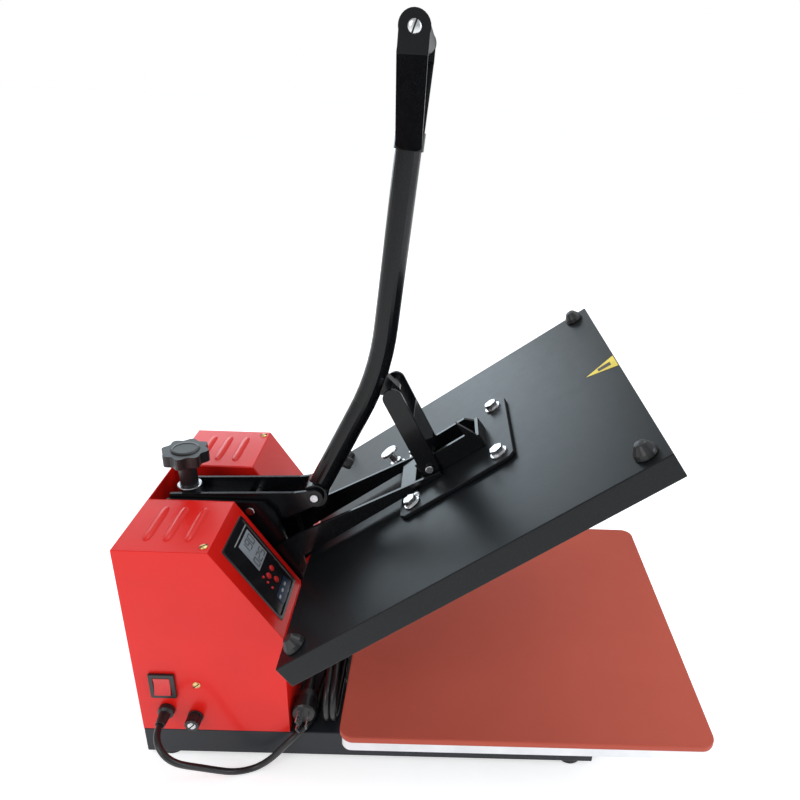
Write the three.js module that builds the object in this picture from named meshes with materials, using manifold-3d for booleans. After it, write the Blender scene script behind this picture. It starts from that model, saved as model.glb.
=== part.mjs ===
// Clamshell heat press, 15 x 15 inch class, standing open. Millimetres, +Z up, +X towards the operator.
// The origin is on the table under the middle of the press. Inside the file, x runs from the back of the
// casing, y from the middle plane, z from the table.
import * as THREE from "three";
import { mergeVertices } from "three/addons/utils/BufferGeometryUtils.js";
import { RoundedBoxGeometry } from "three/addons/geometries/RoundedBoxGeometry.js";
import Module from "manifold-3d";

const wasm = await Module();
wasm.setup();

// ---- Driving dimensions ----
const GAP = 0.3; // between faces that touch
const FOOT_HEIGHT = 6;
const FOOT_RADIUS = 14;
const BASE_LENGTH = 498;
const BASE_WIDTH = 262;
const RAIL_WIDTH = 30;
const RAIL_HEIGHT = 34;
const RAIL_WALL = 3;
const RAIL_END = 52; // the solid stretch at each end of a rail, over its foot
const DECK_LENGTH = 214; // the deck between the rails, under the casing and the mast
const DECK_WALL = 4;
const CROSS_LENGTH = 60;
const FOOT_INSET = 10; // from the end of a rail to its foot

const CASE_LENGTH = 160;
const CASE_HEIGHT = 236;
const CASE_TOP_LENGTH = 93;
const CASE_FRONT_HEIGHT = 132.6;
const CASE_DEPTH = 92; // one control box, across the press
const CASE_WALL = 2;
const SHROUD_WALL = 1.5;

const PAD_SIZE = 380;
const PAD_THICKNESS = 8;
const PAD_CORNER = 15;
const PLATE_SIZE = PAD_SIZE - 4;
const PLATE_THICKNESS = 12;
const PLATE_CORNER = 11;
const BED_REAR = 222.6; // back edge of the pad
const BED_HEIGHT = 103.5; // top of the pad above the table
const PEDESTAL_REAR = 216;
const PEDESTAL_LENGTH = 330;
const PEDESTAL_WIDTH = 190;
const PEDESTAL_WALL = 4;

const COVER_MARGIN = 12; // cover beyond the pad, on each side
const COVER_SIZE = PAD_SIZE + 2 * COVER_MARGIN;
const COVER_HEIGHT = 25;
const COVER_WALL = 2;
const HEATER_THICKNESS = 15;
const HEATER_DROP = 6; // how far the heating plate stands below its cover
const OPEN_ANGLE = 35.9;
const CLOSED_GAP = 0.4;
const HINGE_X = 87.3;
const HINGE_Z = 105.4;
const HINGE_RADIUS = 8;
const HINGE_FIT = 0.3;

const MAST_INNER = 22; // half the clear width between the mast plates
const MAST_WALL = 5;
const MAST_TOP = 268;
const MAST_FRONT = 150;
const ARM_INNER = 29;
const ARM_WALL = 4.5;
const ARM_END = 186; // along the cover from its back edge
const ARM_TOP_REAR = 32; // above the cover, at its back edge
const ARM_TOP_FRONT = 10; // above the cover, at the arm's end

const ROCKER_HALF = 20;
const ROCKER_WALL = 4;
const ROCKER_PIN_X = 106;
const ROCKER_PIN_Z = 257;
const ROCKER_PIN_RADIUS = 5;
const SCREW_X = 32;
const SCREW_RADIUS = 6;
const WEB_TOP = 262;
const WEB_THICKNESS = 6;
const KNOB_RADIUS = 26;
const KNOB_LOBES = 8;
const KNOB_THICKNESS = 13;
const KNOB_FACE = 318; // height of the knob's top
const HUB_RADIUS = 10;
const COLLAR_RADIUS = 13.5;
const COLLAR_HEIGHT = 12;

const LEVER_X = 176; // pivot of the lever in the front of the rocker arm
const LEVER_Z = 272;
const LEVER_RADIUS = 12.5;
const LEVER_BOLT_RADIUS = 5;
const BEND_X = 248;
const BEND_Z = 417;
const TUBE_TOP_X = 276.3;
const TUBE_TOP_Z = 656;
const BEND_ROUNDING = 50;

const LINK_UPPER_X = 263; // pivot of the link in the lever's lug, standing open
const LINK_UPPER_Z = 399;
const LINK_LOWER_ALONG = 177; // pivot of the link on the bracket, along and above the cover
const LINK_LOWER_ABOVE = 17;
const LINK_HALF = 27.3;
const LINK_WALL = 4;
const LINK_END_RADIUS = 10.5;
const LINK_PIN_RADIUS = 4.5;
const LINK_WEB_BOTTOM = 16;
const LINK_WEB_TOP = 61;
const PIN_FIT = 0.35;

const MOUNT_LENGTH = 140;
const MOUNT_WIDTH = 144;
const MOUNT_THICKNESS = 5;
const MOUNT_START = 132;
const MOUNT_BOLT_INSET = 16;
const MOUNT_CORNER = 6; // cut off each corner
const BRACKET_HALF = 22.7;
const BRACKET_WALL = 4;
const BRACKET_START = 164;
const BRACKET_END = 242;
const BRACKET_TOP = 27;
const BRACKET_FIN = 13; // length of the fin at the front of the near flange
const BRACKET_FIN_TOP = 45;
const BRACKET_FIN_FOOT = 12;
const BRACKET_FRONT_TOP = 20;

const HANDLE_HALF = 98;
const HANDLE_X = 283.3;
const HANDLE_Z = 734;
const DISC_RADIUS = 12.5;
const STRAP_WIDTH = 24;
const STRAP_FOOT_CORNER = 7; // rounding of the strap where it ends on the tube
const STRAP_THICKNESS = 4;
const GRIP_RADIUS = 12;

const CORD_DIAMETER = 7;
const HANK_LENGTH = 175.4;
const HANK_HEIGHT = 52.5;
const HANK_TURNS = 3;
const HANK_X = 188.5;
const HANK_Y = 1 - BASE_WIDTH / 2;
const PLUG_X = 174.6;
const PLUG_Y = 19 - BASE_WIDTH / 2;

// ---- Derived places ----
const RAIL_TOP = FOOT_HEIGHT + RAIL_HEIGHT;
const CASE_BOTTOM = RAIL_TOP + GAP;
const CASE_TOP = RAIL_TOP + CASE_HEIGHT;
const CASE_OUTER = BASE_WIDTH / 2;
const CASE_INNER = CASE_OUTER - CASE_DEPTH;
const PAD_BOTTOM = BED_HEIGHT - PAD_THICKNESS;
const PLATE_BOTTOM = PAD_BOTTOM - GAP - PLATE_THICKNESS;
const BED_MIDDLE = BED_REAR + PAD_SIZE / 2;
const TURN = THREE.MathUtils.degToRad(OPEN_ANGLE);
const COVER_REAR = BED_MIDDLE - COVER_SIZE / 2 - HINGE_X; // from the hinge, closed
const COVER_BOTTOM = BED_HEIGHT + CLOSED_GAP + HEATER_DROP - HINGE_Z;
const COVER_TOP = COVER_BOTTOM + COVER_HEIGHT;
const MIDDLE_X = (BED_REAR + PAD_SIZE) / 2; // half way between the back of the casing and the pad's front

// ---- Colours ----
const RED = [0xc9251d, 0.28, 0.1];
const BLACK = [0x17181a, 0.42, 0.2];
const SLATE = [0x2d3238, 0.5, 0.2];
const PLATINUM = [0xc9ccd0, 0.35, 0.9];
const BRIGHT = [0xd8dade, 0.22, 1.0];
const TERRACOTTA = [0xb4523f, 0.75, 0.0];
const PLASTIC = [0x101113, 0.5, 0.0];
const BRASS = [0xc79a4b, 0.35, 0.9];
const BOARD = [0x1f5a34, 0.6, 0.0];
const GLASS = [0xb9c4ce, 0.2, 0.1];

// ---- Helpers ----
const mm = (x, y, z) => new THREE.Vector3(x, y, z);
const flat = (x, y) => new THREE.Vector2(x, y);

function material([colour, roughness, metalness]) {
  return new THREE.MeshStandardMaterial({ color: colour, roughness, metalness });
}

function node(name, geometry, look, parent) {
  const mesh = new THREE.Mesh(geometry, material(look));
  mesh.name = name;
  parent.add(mesh);
  return mesh;
}

function toSolid(geometry) {
  const bare = new THREE.BufferGeometry();
  const source = geometry.index ? geometry.toNonIndexed() : geometry;
  bare.setAttribute("position", source.getAttribute("position"));
  const merged = mergeVertices(bare, 1e-3);
  return new wasm.Manifold(
    new wasm.Mesh({
      numProp: 3,
      vertProperties: merged.attributes.position.array,
      triVerts: new Uint32Array(merged.index.array),
    }),
  );
}

function toGeometry(solid) {
  const mesh = solid.getMesh();
  const geometry = new THREE.BufferGeometry();
  geometry.setAttribute("position", new THREE.BufferAttribute(mesh.vertProperties, 3));
  geometry.setIndex(new THREE.BufferAttribute(mesh.triVerts, 1));
  geometry.computeVertexNormals();
  return geometry;
}

function join(...geometries) {
  return toGeometry(geometries.map(toSolid).reduce((whole, piece) => whole.add(piece)));
}

function cut(geometry, ...holes) {
  const solid = holes.map(toSolid).reduce((whole, hole) => whole.subtract(hole), toSolid(geometry));
  return toGeometry(solid);
}

// A box from its low corner and its size.
function block(x, y, z, length, width, height) {
  const geometry = new THREE.BoxGeometry(length, width, height);
  return geometry.translate(x + length / 2, y + width / 2, z + height / 2);
}

// An outline in x and z, as thick as width, with its low side at y.
function sidePlate(outline, y, width) {
  const options = { depth: width, bevelEnabled: false, curveSegments: 10 };
  const geometry = new THREE.ExtrudeGeometry(outline, options);
  return geometry.rotateX(Math.PI / 2).translate(0, y + width, 0);
}

// An outline in x and y, from z up by height.
function slab(outline, z, height) {
  const options = { depth: height, bevelEnabled: false, curveSegments: 6 };
  const geometry = new THREE.ExtrudeGeometry(outline, options);
  return geometry.translate(0, 0, z);
}

// A cylinder along one axis, about a middle point.
function rod(axis, radius, length, x, y, z, sides = 24) {
  const geometry = new THREE.CylinderGeometry(radius, radius, length, sides);
  if (axis === "x") geometry.rotateZ(Math.PI / 2);
  if (axis === "z") geometry.rotateX(Math.PI / 2);
  return geometry.translate(x, y, z);
}

function polygon(points) {
  const outline = new THREE.Shape();
  points.forEach(([x, y], i) => (i ? outline.lineTo(x, y) : outline.moveTo(x, y)));
  outline.closePath();
  return outline;
}

function circleHole(x, y, radius) {
  return new THREE.Path().absarc(x, y, radius, 0, Math.PI * 2, true);
}

function roundedSquare(size, radius, middle) {
  const half = size / 2 - radius;
  const outline = new THREE.Shape();
  outline.absarc(middle + half, half, radius, 0, Math.PI / 2);
  outline.absarc(middle - half, half, radius, Math.PI / 2, Math.PI);
  outline.absarc(middle - half, -half, radius, Math.PI, Math.PI * 1.5);
  outline.absarc(middle + half, -half, radius, Math.PI * 1.5, Math.PI * 2);
  outline.closePath();
  return outline;
}

// A pressed tray of the base, upside down: a top and four walls, open below, with solid ends if asked.
function tray(x, y, length, width, wall, end = wall) {
  const outer = block(x, y, FOOT_HEIGHT, length, width, RAIL_HEIGHT);
  const height = RAIL_HEIGHT - wall;
  const hollow = block(x + end, y + wall, FOOT_HEIGHT - 1, length - 2 * end, width - 2 * wall, height + 1);
  return cut(outer, hollow);
}

// ---- Base ----
function buildBase(parent) {
  const half = BASE_WIDTH / 2;
  const inner = half - RAIL_WIDTH;
  const between = 2 * (inner - GAP);
  node("near_rail", tray(0, -half, BASE_LENGTH, RAIL_WIDTH, RAIL_WALL, RAIL_END), SLATE, parent);
  node("far_rail", tray(0, inner, BASE_LENGTH, RAIL_WIDTH, RAIL_WALL, RAIL_END), SLATE, parent);
  node("mast_deck", tray(0, -between / 2, DECK_LENGTH, between, DECK_WALL), SLATE, parent);
  const cross = tray(BASE_LENGTH - CROSS_LENGTH, -between / 2, CROSS_LENGTH, between, DECK_WALL);
  node("front_crossmember", cross, SLATE, parent);
  const footX = FOOT_RADIUS + FOOT_INSET;
  for (const [end, x] of [["rear", footX], ["front", BASE_LENGTH - footX]]) {
    for (const [side, sign] of [["near", -1], ["far", 1]]) {
      const height = FOOT_HEIGHT - GAP;
      const y = sign * (half - RAIL_WIDTH / 2);
      node(`${end}_${side}_foot`, rod("z", FOOT_RADIUS, height, x, y, height / 2), PLASTIC, parent);
    }
  }
}

// ---- Lower bed ----
function buildBed(parent) {
  const bottom = RAIL_TOP + GAP;
  const top = PLATE_BOTTOM - GAP;
  const side = -PEDESTAL_WIDTH / 2;
  const outer = block(PEDESTAL_REAR, side, bottom, PEDESTAL_LENGTH, PEDESTAL_WIDTH, top - bottom);
  const hollow = block(
    PEDESTAL_REAR + PEDESTAL_WALL,
    -PEDESTAL_WIDTH / 2 + PEDESTAL_WALL,
    bottom - 1,
    PEDESTAL_LENGTH - 2 * PEDESTAL_WALL,
    PEDESTAL_WIDTH - 2 * PEDESTAL_WALL,
    top - bottom + 1 - PEDESTAL_WALL,
  );
  node("bed_pedestal", cut(outer, hollow), BLACK, parent);
  const plate = slab(roundedSquare(PLATE_SIZE, PLATE_CORNER, BED_MIDDLE), PLATE_BOTTOM, PLATE_THICKNESS);
  node("lower_plate", plate, PLATINUM, parent);
  const pad = slab(roundedSquare(PAD_SIZE, PAD_CORNER, BED_MIDDLE), PAD_BOTTOM, PAD_THICKNESS);
  node("silicone_pad", pad, TERRACOTTA, parent);
}

// ---- Casing ----
// The side outline of a control box, drawn in by a wall's thickness.
function caseOutline(wall) {
  const slope = Math.atan2(CASE_HEIGHT - CASE_FRONT_HEIGHT, CASE_LENGTH - CASE_TOP_LENGTH);
  const shift = wall * Math.tan((Math.PI / 2 - slope) / 2);
  const drop = wall * Math.tan(slope / 2);
  return polygon([
    [wall, CASE_BOTTOM + wall],
    [CASE_LENGTH - wall, CASE_BOTTOM + wall],
    [CASE_LENGTH - wall, RAIL_TOP + CASE_FRONT_HEIGHT - shift],
    [CASE_TOP_LENGTH - drop, CASE_TOP - wall],
    [wall, CASE_TOP - wall],
  ]);
}

const SLOPE = Math.atan2(CASE_HEIGHT - CASE_FRONT_HEIGHT, CASE_LENGTH - CASE_TOP_LENGTH);

// Puts a group's x down the sloped face, its y across the press and its z out of the face.
function onSlope(group, down, y) {
  group.position.set(
    CASE_TOP_LENGTH + down * Math.cos(SLOPE),
    y,
    CASE_TOP - down * Math.sin(SLOPE),
  );
  group.rotation.y = SLOPE;
}

const PANEL_LENGTH = 96;
const PANEL_WIDTH = 62;
const PANEL_DOWN = 64; // panel middle, down the slope
const PANEL_Y = 51 - CASE_OUTER;
const PANEL_FIT = 0.4;
const SWITCH_X = 29.3;
const SWITCH_Z = 105;
const SWITCH_LENGTH = 27;
const SWITCH_HEIGHT = 32;
const FUSE_X = 59;
const FUSE_Z = 61;
const FUSE_RADIUS = 7;
const GLAND_X = 29.5;
const GLAND_Z = 70;
const GLAND_RADIUS = 6.5;
const LOUVRE_PLACES = [26, 46, 67];
const LOUVRE_LENGTH = 3;
const LOUVRE_WIDTH = 57;
const LOUVRE_Y = CASE_OUTER - 48;

// One control box, open on its inner side, which the shroud closes.
function controlBox(side) {
  const low = side < 0 ? -CASE_OUTER : CASE_INNER;
  const shell = sidePlate(caseOutline(0), low, CASE_DEPTH);
  const shift = side < 0 ? CASE_WALL : -CASE_WALL;
  const hollow = sidePlate(caseOutline(CASE_WALL), low + shift, CASE_DEPTH);
  const start = side * LOUVRE_Y - LOUVRE_WIDTH / 2;
  const louvres = LOUVRE_PLACES.map((x) => block(x, start, CASE_TOP - 10, LOUVRE_LENGTH, LOUVRE_WIDTH, 20));
  return [shell, hollow, ...louvres];
}

function buildCasing(parent) {
  const panelHole = new THREE.BoxGeometry(PANEL_LENGTH, PANEL_WIDTH, 20);
  panelHole.rotateY(SLOPE);
  panelHole.translate(
    CASE_TOP_LENGTH + PANEL_DOWN * Math.cos(SLOPE),
    PANEL_Y,
    CASE_TOP - PANEL_DOWN * Math.sin(SLOPE),
  );
  const switchHole = block(
    SWITCH_X - SWITCH_LENGTH / 2 + 2,
    -CASE_OUTER - 5,
    SWITCH_Z - SWITCH_HEIGHT / 2 + 2,
    SWITCH_LENGTH - 4,
    20,
    SWITCH_HEIGHT - 4,
  );
  const fuseHole = rod("y", FUSE_RADIUS - 1, 20, FUSE_X, -CASE_OUTER, FUSE_Z);
  const glandHole = rod("y", GLAND_RADIUS, 20, GLAND_X, -CASE_OUTER, GLAND_Z);
  node("near_case", cut(...controlBox(-1), panelHole, switchHole, fuseHole, glandHole), RED, parent);
  node("far_case", cut(...controlBox(1)), RED, parent);

  const half = CASE_INNER - GAP;
  const bottom = CASE_BOTTOM;
  const height = CASE_TOP - bottom;
  const back = block(0, -half, bottom, SHROUD_WALL, 2 * half, height);
  const near = sidePlate(caseOutline(0), -half, SHROUD_WALL);
  const far = sidePlate(caseOutline(0), half - SHROUD_WALL, SHROUD_WALL);
  node("rear_shroud", join(back, near, far), RED, parent);
}

// ---- Controls ----
const PANEL_THICKNESS = 4;
const WINDOW_LENGTH = 36; // down the slope
const WINDOW_WIDTH = 33;
const WINDOW_X = -17; // window middle from the panel's middle
const WINDOW_Y = 10.5;
const WINDOW_DEPTH = 1.5;
const BUTTON_RADIUS = 3.6;
const BUTTON_FIT = 0.3;
const BUTTON_HEIGHT = 1.6; // above the panel
const BUTTON_STEM = 7; // below the panel's face
const BUTTON_PLACES = [[14, 1], [14, 14], [25, 7.5]];

function buildControls(parent) {
  const panel = new THREE.Group();
  onSlope(panel, PANEL_DOWN, PANEL_Y);
  parent.add(panel);
  const length = PANEL_LENGTH - 2 * PANEL_FIT;
  const width = PANEL_WIDTH - 2 * PANEL_FIT;
  const plate = new RoundedBoxGeometry(length, width, PANEL_THICKNESS, 1, 1.2);
  plate.translate(0, 0, -PANEL_THICKNESS / 2);
  const corner = [WINDOW_X - WINDOW_LENGTH / 2, WINDOW_Y - WINDOW_WIDTH / 2];
  const windowHole = block(...corner, -WINDOW_DEPTH, WINDOW_LENGTH, WINDOW_WIDTH, PANEL_THICKNESS);
  const buttonHoles = BUTTON_PLACES.map(([x, y]) => rod("z", BUTTON_RADIUS + BUTTON_FIT, 12, x, y, 0));
  node("control_panel", cut(plate, windowHole, ...buttonHoles), PLASTIC, panel);
  const glass = block(
    corner[0] + GAP,
    corner[1] + GAP,
    -WINDOW_DEPTH + GAP,
    WINDOW_LENGTH - 2 * GAP,
    WINDOW_WIDTH - 2 * GAP,
    WINDOW_DEPTH,
  );
  node("display_window", glass, GLASS, panel);
}

function button() {
  const profile = [
    flat(0, -BUTTON_STEM),
    flat(BUTTON_RADIUS, -BUTTON_STEM),
    flat(BUTTON_RADIUS, BUTTON_HEIGHT - 0.7),
    flat(BUTTON_RADIUS - 0.7, BUTTON_HEIGHT),
    flat(0, BUTTON_HEIGHT + 0.2),
  ];
  return new THREE.LatheGeometry(profile, 20).rotateX(Math.PI / 2);
}

function buildButtons(parent) {
  BUTTON_PLACES.forEach(([x, y], i) => {
    const group = new THREE.Group();
    onSlope(group, PANEL_DOWN + x, PANEL_Y + y);
    parent.add(group);
    node(`panel_button_${i + 1}`, button(), RED, group);
  });
}

const SWITCH_WALL = 2.2;
const ROCKER_TILT = 5;

function buildSwitch(parent) {
  const group = new THREE.Group();
  group.position.set(SWITCH_X, -CASE_OUTER, SWITCH_Z);
  parent.add(group);
  const flange = block(-SWITCH_LENGTH / 2, -3 - GAP, -SWITCH_HEIGHT / 2, SWITCH_LENGTH, 3, SWITCH_HEIGHT);
  const inset = 2 + GAP;
  const body = block(
    -SWITCH_LENGTH / 2 + inset,
    -1,
    -SWITCH_HEIGHT / 2 + inset,
    SWITCH_LENGTH - 2 * inset,
    16,
    SWITCH_HEIGHT - 2 * inset,
  );
  const wall = inset + SWITCH_WALL;
  const well = block(
    -SWITCH_LENGTH / 2 + wall,
    -5,
    -SWITCH_HEIGHT / 2 + wall,
    SWITCH_LENGTH - 2 * wall,
    14,
    SWITCH_HEIGHT - 2 * wall,
  );
  node("power_switch_bezel", cut(join(flange, body), well), PLASTIC, group);

  const rocker = new THREE.Group();
  rocker.position.set(0, ROCKER_AXIS_Y, 0);
  rocker.rotation.x = THREE.MathUtils.degToRad(-ROCKER_TILT);
  group.add(rocker);
  const halfWidth = SWITCH_LENGTH / 2 - wall - 0.4;
  const halfHeight = SWITCH_HEIGHT / 2 - wall - 0.7;
  const shape = new THREE.Shape();
  shape.moveTo(-halfHeight, -6.5);
  shape.quadraticCurveTo(0, -3.5, halfHeight, -6.5);
  shape.lineTo(halfHeight - 3, 3);
  shape.lineTo(-halfHeight + 3, 3);
  shape.closePath();
  const options = { depth: 2 * halfWidth, bevelEnabled: false, curveSegments: 8 };
  const key = new THREE.ExtrudeGeometry(shape, options);
  key.rotateY(-Math.PI / 2).translate(halfWidth, 0, 0);
  node("power_switch_rocker", key, RED, rocker);
}

const ROCKER_AXIS_Y = 2;

function buildFuse(parent) {
  const group = new THREE.Group();
  group.position.set(FUSE_X, -CASE_OUTER, FUSE_Z);
  parent.add(group);
  const lip = rod("y", FUSE_RADIUS + 1.5, 2, 0, -1 - GAP, 0);
  const sleeve = rod("y", FUSE_RADIUS - 1 - GAP, 30, 0, 13, 0);
  const bore = rod("y", 4, 40, 0, 10, 0);
  node("fuse_holder", cut(join(lip, sleeve), bore), PLASTIC, group);
  const grip = new THREE.Shape();
  const flutes = 12;
  for (let i = 0; i <= flutes * 4; i++) {
    const angle = (i / (flutes * 4)) * Math.PI * 2;
    const radius = FUSE_RADIUS + 0.5 + 0.5 * Math.cos(angle * flutes);
    if (i) grip.lineTo(radius * Math.cos(angle), radius * Math.sin(angle));
    else grip.moveTo(radius, 0);
  }
  const cap = new THREE.ExtrudeGeometry(grip, { depth: 11, bevelEnabled: false });
  cap.rotateX(Math.PI / 2).translate(0, -2 - 2 * GAP, 0);
  const stem = rod("y", 3.5, 20, 0, 2, 0, 16);
  node("fuse_cap", join(cap, stem), PLASTIC, group);
}

const GLAND_REACH = 22;

function buildGland(parent) {
  const bore = CORD_DIAMETER / 2;
  const neck = GLAND_RADIUS - GAP;
  const profile = [
    flat(bore + 0.9, -8),
    flat(neck, -8),
    flat(neck, GAP),
    flat(neck + 2.5, GAP),
    flat(neck + 2.5, 6),
    flat(neck, 8),
    flat(bore + 1.6, GLAND_REACH),
    flat(bore + GAP, GLAND_REACH),
    flat(bore + GAP, 0),
    flat(bore + 0.9, -8),
  ];
  const geometry = new THREE.LatheGeometry(profile, 20).rotateX(Math.PI);
  node("cord_gland", geometry.translate(GLAND_X, -CASE_OUTER, GLAND_Z), PLASTIC, parent);
}

// ---- Inside the near box ----
function buildInsides(parent) {
  const far = -CASE_INNER - 14;
  const floor = CASE_BOTTOM + CASE_WALL + GAP;
  node("control_board", block(20, far, floor + 90, 70, 1.6, 80), BOARD, parent);
  const relay = block(95, far - 30, floor + 20, 45, 30, 60);
  node("solid_state_relay", relay, PLASTIC, parent);
  node("transformer", block(84, far - 42, floor + 95, 26, 40, 40), BRASS, parent);
}

// ---- Mast ----
function mastOutline() {
  const outline = polygon([
    [14, RAIL_TOP + GAP],
    [MAST_FRONT, RAIL_TOP + GAP],
    [MAST_FRONT, 200],
    [134, MAST_TOP - 12],
    [122, MAST_TOP],
    [14, MAST_TOP],
  ]);
  outline.holes.push(circleHole(HINGE_X, HINGE_Z, HINGE_RADIUS + HINGE_FIT));
  outline.holes.push(circleHole(ROCKER_PIN_X, ROCKER_PIN_Z, ROCKER_PIN_RADIUS + PIN_FIT));
  return outline;
}

const STOP_HEIGHT = 12;
const SCREW_END = 238;

function buildMast(parent) {
  node("near_mast_plate", sidePlate(mastOutline(), -MAST_INNER - MAST_WALL, MAST_WALL), BLACK, parent);
  node("far_mast_plate", sidePlate(mastOutline(), MAST_INNER, MAST_WALL), BLACK, parent);
  const width = 2 * (MAST_INNER - GAP);
  const stop = block(18, -width / 2, SCREW_END - GAP - STOP_HEIGHT, 34, width, STOP_HEIGHT);
  node("pressure_stop", stop, BLACK, parent);
  const halfShaft = ARM_INNER + ARM_WALL + 2;
  node("hinge_shaft", rod("y", HINGE_RADIUS, 2 * halfShaft, HINGE_X, 0, HINGE_Z), BRIGHT, parent);
  const pinLength = 2 * (ARM_INNER - 0.8);
  node("rocker_pin", rod("y", ROCKER_PIN_RADIUS, pinLength, ROCKER_PIN_X, 0, ROCKER_PIN_Z), BRIGHT, parent);
}

// ---- Pressure head ----
const ROCKER_REAR = 16;
const ROCKER_REAR_TOP = 272;
const ROCKER_REAR_BOTTOM = 246;
const ROCKER_NOSE = 10;

function rockerOutline() {
  const outline = new THREE.Shape();
  outline.moveTo(ROCKER_REAR, ROCKER_REAR_BOTTOM);
  outline.lineTo(LEVER_X - 30, ROCKER_REAR_BOTTOM);
  outline.lineTo(LEVER_X, LEVER_Z - ROCKER_NOSE);
  outline.absarc(LEVER_X, LEVER_Z, ROCKER_NOSE, -Math.PI / 2, Math.PI / 2);
  outline.lineTo(LEVER_X - 22, LEVER_Z + 6);
  outline.lineTo(ROCKER_REAR, ROCKER_REAR_TOP);
  outline.closePath();
  outline.holes.push(circleHole(LEVER_X, LEVER_Z, LEVER_BOLT_RADIUS + PIN_FIT));
  outline.holes.push(circleHole(ROCKER_PIN_X, ROCKER_PIN_Z, ROCKER_PIN_RADIUS + PIN_FIT));
  return outline;
}

function buildPressureHead(parent) {
  const near = sidePlate(rockerOutline(), -ROCKER_HALF, ROCKER_WALL);
  const far = sidePlate(rockerOutline(), ROCKER_HALF - ROCKER_WALL, ROCKER_WALL);
  const webWidth = 2 * ROCKER_HALF - 2;
  const webLength = ROCKER_PIN_X - ROCKER_PIN_RADIUS - 4 - ROCKER_REAR;
  const webBottom = WEB_TOP - WEB_THICKNESS;
  const web = block(ROCKER_REAR, -webWidth / 2, webBottom, webLength, webWidth, WEB_THICKNESS);
  const screwHole = rod("z", SCREW_RADIUS + PIN_FIT, 40, SCREW_X, 0, WEB_TOP);
  node("rocker_arm", cut(join(near, far, web), screwHole), BLACK, parent);
  const boltLength = 2 * (ROCKER_HALF + 1.2);
  node("lever_bolt", rod("y", LEVER_BOLT_RADIUS, boltLength, LEVER_X, 0, LEVER_Z), BRIGHT, parent);

  const collar = rod("z", COLLAR_RADIUS, COLLAR_HEIGHT, SCREW_X, 0, WEB_TOP + GAP + COLLAR_HEIGHT / 2, 28);
  const collarBore = rod("z", SCREW_RADIUS + PIN_FIT, 60, SCREW_X, 0, WEB_TOP);
  node("lock_collar", cut(collar, collarBore), BRIGHT, parent);
}

function buildKnob(parent) {
  const lobes = new THREE.Shape();
  const steps = KNOB_LOBES * 8;
  for (let i = 0; i < steps; i++) {
    const angle = (i / steps) * Math.PI * 2;
    const radius = KNOB_RADIUS - 2.2 + 2.2 * Math.cos(angle * KNOB_LOBES);
    const point = [SCREW_X + radius * Math.cos(angle), radius * Math.sin(angle)];
    if (i) lobes.lineTo(...point);
    else lobes.moveTo(...point);
  }
  lobes.closePath();
  const head = slab(lobes, KNOB_FACE - KNOB_THICKNESS, KNOB_THICKNESS);
  const hubBottom = WEB_TOP + 2 * GAP + COLLAR_HEIGHT;
  const hubHeight = KNOB_FACE - 3 - hubBottom;
  const hub = rod("z", HUB_RADIUS, hubHeight, SCREW_X, 0, hubBottom + hubHeight / 2);
  const screwLength = hubBottom + 5 - SCREW_END;
  const screw = rod("z", SCREW_RADIUS, screwLength, SCREW_X, 0, SCREW_END + screwLength / 2);
  node("pressure_knob", join(head, hub, screw), PLASTIC, parent);
}

// ---- Lever ----
// The lever's middle line: straight, a rounded bend, straight.
function leverPath() {
  const start = mm(LEVER_X, 0, LEVER_Z);
  const corner = mm(BEND_X, 0, BEND_Z);
  const end = mm(TUBE_TOP_X, 0, TUBE_TOP_Z);
  const before = corner.clone().add(start.clone().sub(corner).setLength(BEND_ROUNDING));
  const after = corner.clone().add(end.clone().sub(corner).setLength(BEND_ROUNDING));
  const path = new THREE.CurvePath();
  path.add(new THREE.LineCurve3(start, before));
  path.add(new THREE.QuadraticBezierCurve3(before, corner, after));
  path.add(new THREE.LineCurve3(after, end));
  return path;
}

function tubeAlong(path, radius, sides, steps) {
  const section = new THREE.Shape();
  for (let i = 0; i < sides; i++) {
    const angle = (i / sides) * Math.PI * 2;
    const point = [radius * Math.cos(angle), radius * Math.sin(angle)];
    if (i) section.lineTo(...point);
    else section.moveTo(...point);
  }
  section.closePath();
  return new THREE.ExtrudeGeometry(section, { steps, extrudePath: path, bevelEnabled: false });
}

const LUG_HALF = 6;
const LUG_RADIUS = 7;

// The lug that stands out from the bend and carries the link.
function leverLug() {
  const along = flat(BEND_X - LEVER_X, BEND_Z - LEVER_Z).normalize();
  const reach = along.dot(flat(LINK_UPPER_X - LEVER_X, LINK_UPPER_Z - LEVER_Z));
  const root = flat(LEVER_X, LEVER_Z).addScaledVector(along, reach);
  const out = flat(LINK_UPPER_X, LINK_UPPER_Z).sub(root).normalize();
  const side = flat(-out.y, out.x).multiplyScalar(LUG_RADIUS);
  const turn = Math.atan2(out.y, out.x);
  const outline = new THREE.Shape();
  outline.moveTo(root.x + 2 * side.x, root.y + 2 * side.y);
  outline.lineTo(root.x - 2 * side.x, root.y - 2 * side.y);
  outline.absarc(LINK_UPPER_X, LINK_UPPER_Z, LUG_RADIUS, turn - Math.PI / 2, turn + Math.PI / 2);
  outline.closePath();
  return sidePlate(outline, -LUG_HALF, 2 * LUG_HALF);
}

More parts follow.
